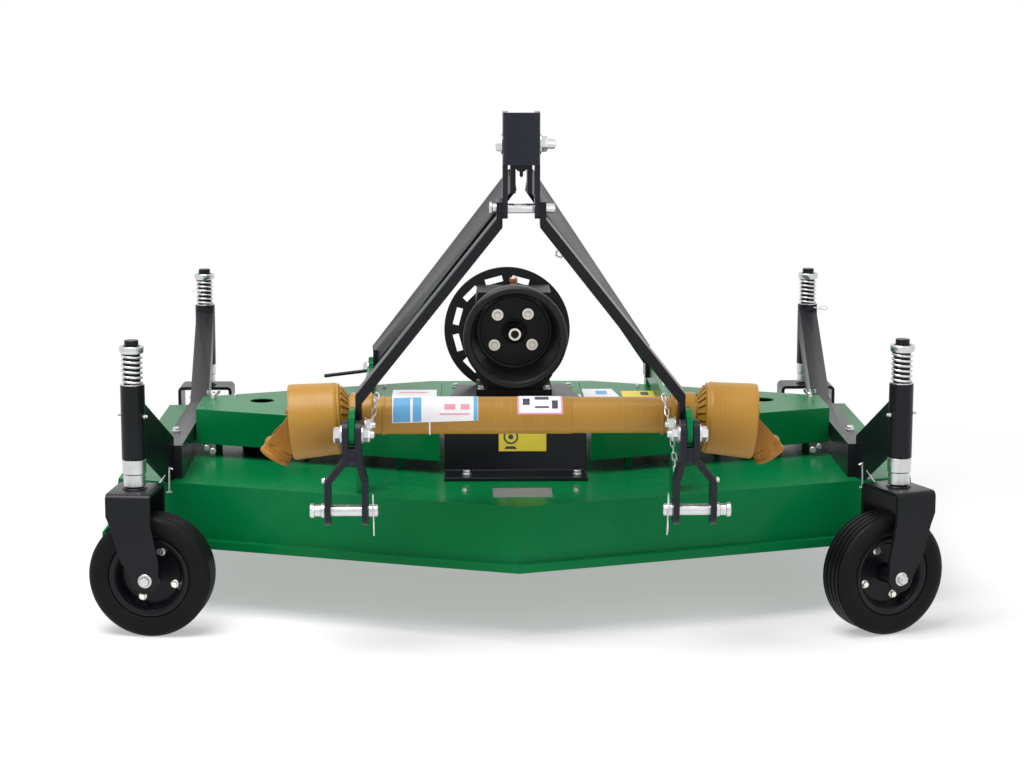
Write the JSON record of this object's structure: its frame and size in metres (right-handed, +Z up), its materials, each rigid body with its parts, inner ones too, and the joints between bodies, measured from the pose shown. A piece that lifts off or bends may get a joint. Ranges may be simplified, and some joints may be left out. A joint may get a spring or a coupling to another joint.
{
  "type": "rotary mower",
  "caption": "Three-point hitch finish mower: V-front deck, belt covers, gearbox, castor wheels, A-frame hitch and stowed driveline.",
  "frame": {"origin": "middle of the footprint, on the ground", "axes": "+X to the right, +Z up, hitch towards -Y"},
  "size_m": [1.786, 1.736, 1.091],
  "materials": {
    "green_paint": "gloss",
    "black_paint": "gloss",
    "tyre_rubber": "matt",
    "zinc": "zinc plated",
    "castings": "painted black",
    "blade_steel": "satin",
    "driveline_plastic": "satin",
    "yoke_paint": "satin"
  },
  "bodies": {
    "frame": {"deck": "green_paint", "left_belt_cover": "green_paint", "right_belt_cover": "green_paint", "centre_belt_cover": "green_paint", "left_hitch_rail": "green_paint", "right_hitch_rail": "green_paint", "gearbox_mount": "black_paint", "input_shield": "black_paint", "left_front_carrier": "black_paint", "right_front_carrier": "black_paint", "left_side_rail": "black_paint", "right_side_rail": "black_paint", "left_clevis": "black_paint", "right_clevis": "black_paint", "left_front_arm": "black_paint", "right_front_arm": "black_paint", "left_rear_brace": "black_paint", "right_rear_brace": "black_paint", "top_bracket": "black_paint", "left_lower_pin": "zinc", "right_lower_pin": "zinc", "top_pin": "zinc", "gearbox": "castings", "left_spindle_housing": "castings", "centre_spindle_housing": "castings", "right_spindle_housing": "castings", "driveline_guard": "driveline_plastic", "left_yoke": "yoke_paint", "right_yoke": "yoke_paint"},
    "left_front_castor": {"left_front_fork": "black_paint"},
    "left_front_wheel": {"left_front_rim": "black_paint", "left_front_tyre": "tyre_rubber"},
    "right_front_castor": {"right_front_fork": "black_paint"},
    "right_front_wheel": {"right_front_rim": "black_paint", "right_front_tyre": "tyre_rubber"},
    "left_rear_castor": {"left_rear_fork": "black_paint"},
    "left_rear_wheel": {"left_rear_rim": "black_paint", "left_rear_tyre": "tyre_rubber"},
    "right_rear_castor": {"right_rear_fork": "black_paint"},
    "right_rear_wheel": {"right_rear_rim": "black_paint", "right_rear_tyre": "tyre_rubber"},
    "centre_rotor": {"centre_blade": "blade_steel"},
    "left_rotor": {"left_blade": "blade_steel"},
    "right_rotor": {"right_blade": "blade_steel"},
    "input": {"input_shaft": "zinc"}
  },
  "joints": [
    {"name": "left_front_swivel", "type": "hinge", "parent": "frame", "child": "left_front_castor", "pos_m": [-0.79, -0.594, 0.44], "axis": [0, 0, 1], "continuous": true},
    {"name": "left_front_roll", "type": "hinge", "parent": "left_front_castor", "child": "left_front_wheel", "pos_m": [-0.75718, -0.59745, 0.127], "axis": [0.1045, 0.9945, 0], "continuous": true},
    {"name": "right_front_swivel", "type": "hinge", "parent": "frame", "child": "right_front_castor", "pos_m": [0.79, -0.594, 0.44], "axis": [0, 0, 1], "continuous": true},
    {"name": "right_front_roll", "type": "hinge", "parent": "right_front_castor", "child": "right_front_wheel", "pos_m": [0.75962, -0.60689, 0.127], "axis": [0.3907, -0.9205, 0], "continuous": true},
    {"name": "left_rear_swivel", "type": "hinge", "parent": "frame", "child": "left_rear_castor", "pos_m": [-0.78, 0.708, 0.44], "axis": [0, 0, 1], "continuous": true},
    {"name": "left_rear_roll", "type": "hinge", "parent": "left_rear_castor", "child": "left_rear_wheel", "pos_m": [-0.78, 0.741, 0.127], "axis": [-1, 0, 0], "continuous": true},
    {"name": "right_rear_swivel", "type": "hinge", "parent": "frame", "child": "right_rear_castor", "pos_m": [0.78, 0.708, 0.44], "axis": [0, 0, 1], "continuous": true},
    {"name": "right_rear_roll", "type": "hinge", "parent": "right_rear_castor", "child": "right_rear_wheel", "pos_m": [0.78, 0.741, 0.127], "axis": [-1, 0, 0], "continuous": true},
    {"name": "centre_blade_spin", "type": "hinge", "parent": "frame", "child": "centre_rotor", "pos_m": [0, -0.144, 0.2], "axis": [0, 0, 1], "continuous": true},
    {"name": "left_blade_spin", "type": "hinge", "parent": "frame", "child": "left_rotor", "pos_m": [-0.574, -0.024, 0.2], "axis": [0, 0, 1], "continuous": true},
    {"name": "right_blade_spin", "type": "hinge", "parent": "frame", "child": "right_rotor", "pos_m": [0.574, -0.024, 0.2], "axis": [0, 0, 1], "continuous": true},
    {"name": "input_spin", "type": "hinge", "parent": "frame", "child": "input", "pos_m": [0, -0.204, 0.578], "axis": [0, 1, 0], "continuous": true}
  ],
  "couplings": [
    {"joint": "left_blade_spin", "follows": "centre_blade_spin", "ratio": 1},
    {"joint": "right_blade_spin", "follows": "centre_blade_spin", "ratio": 1}
  ]
}
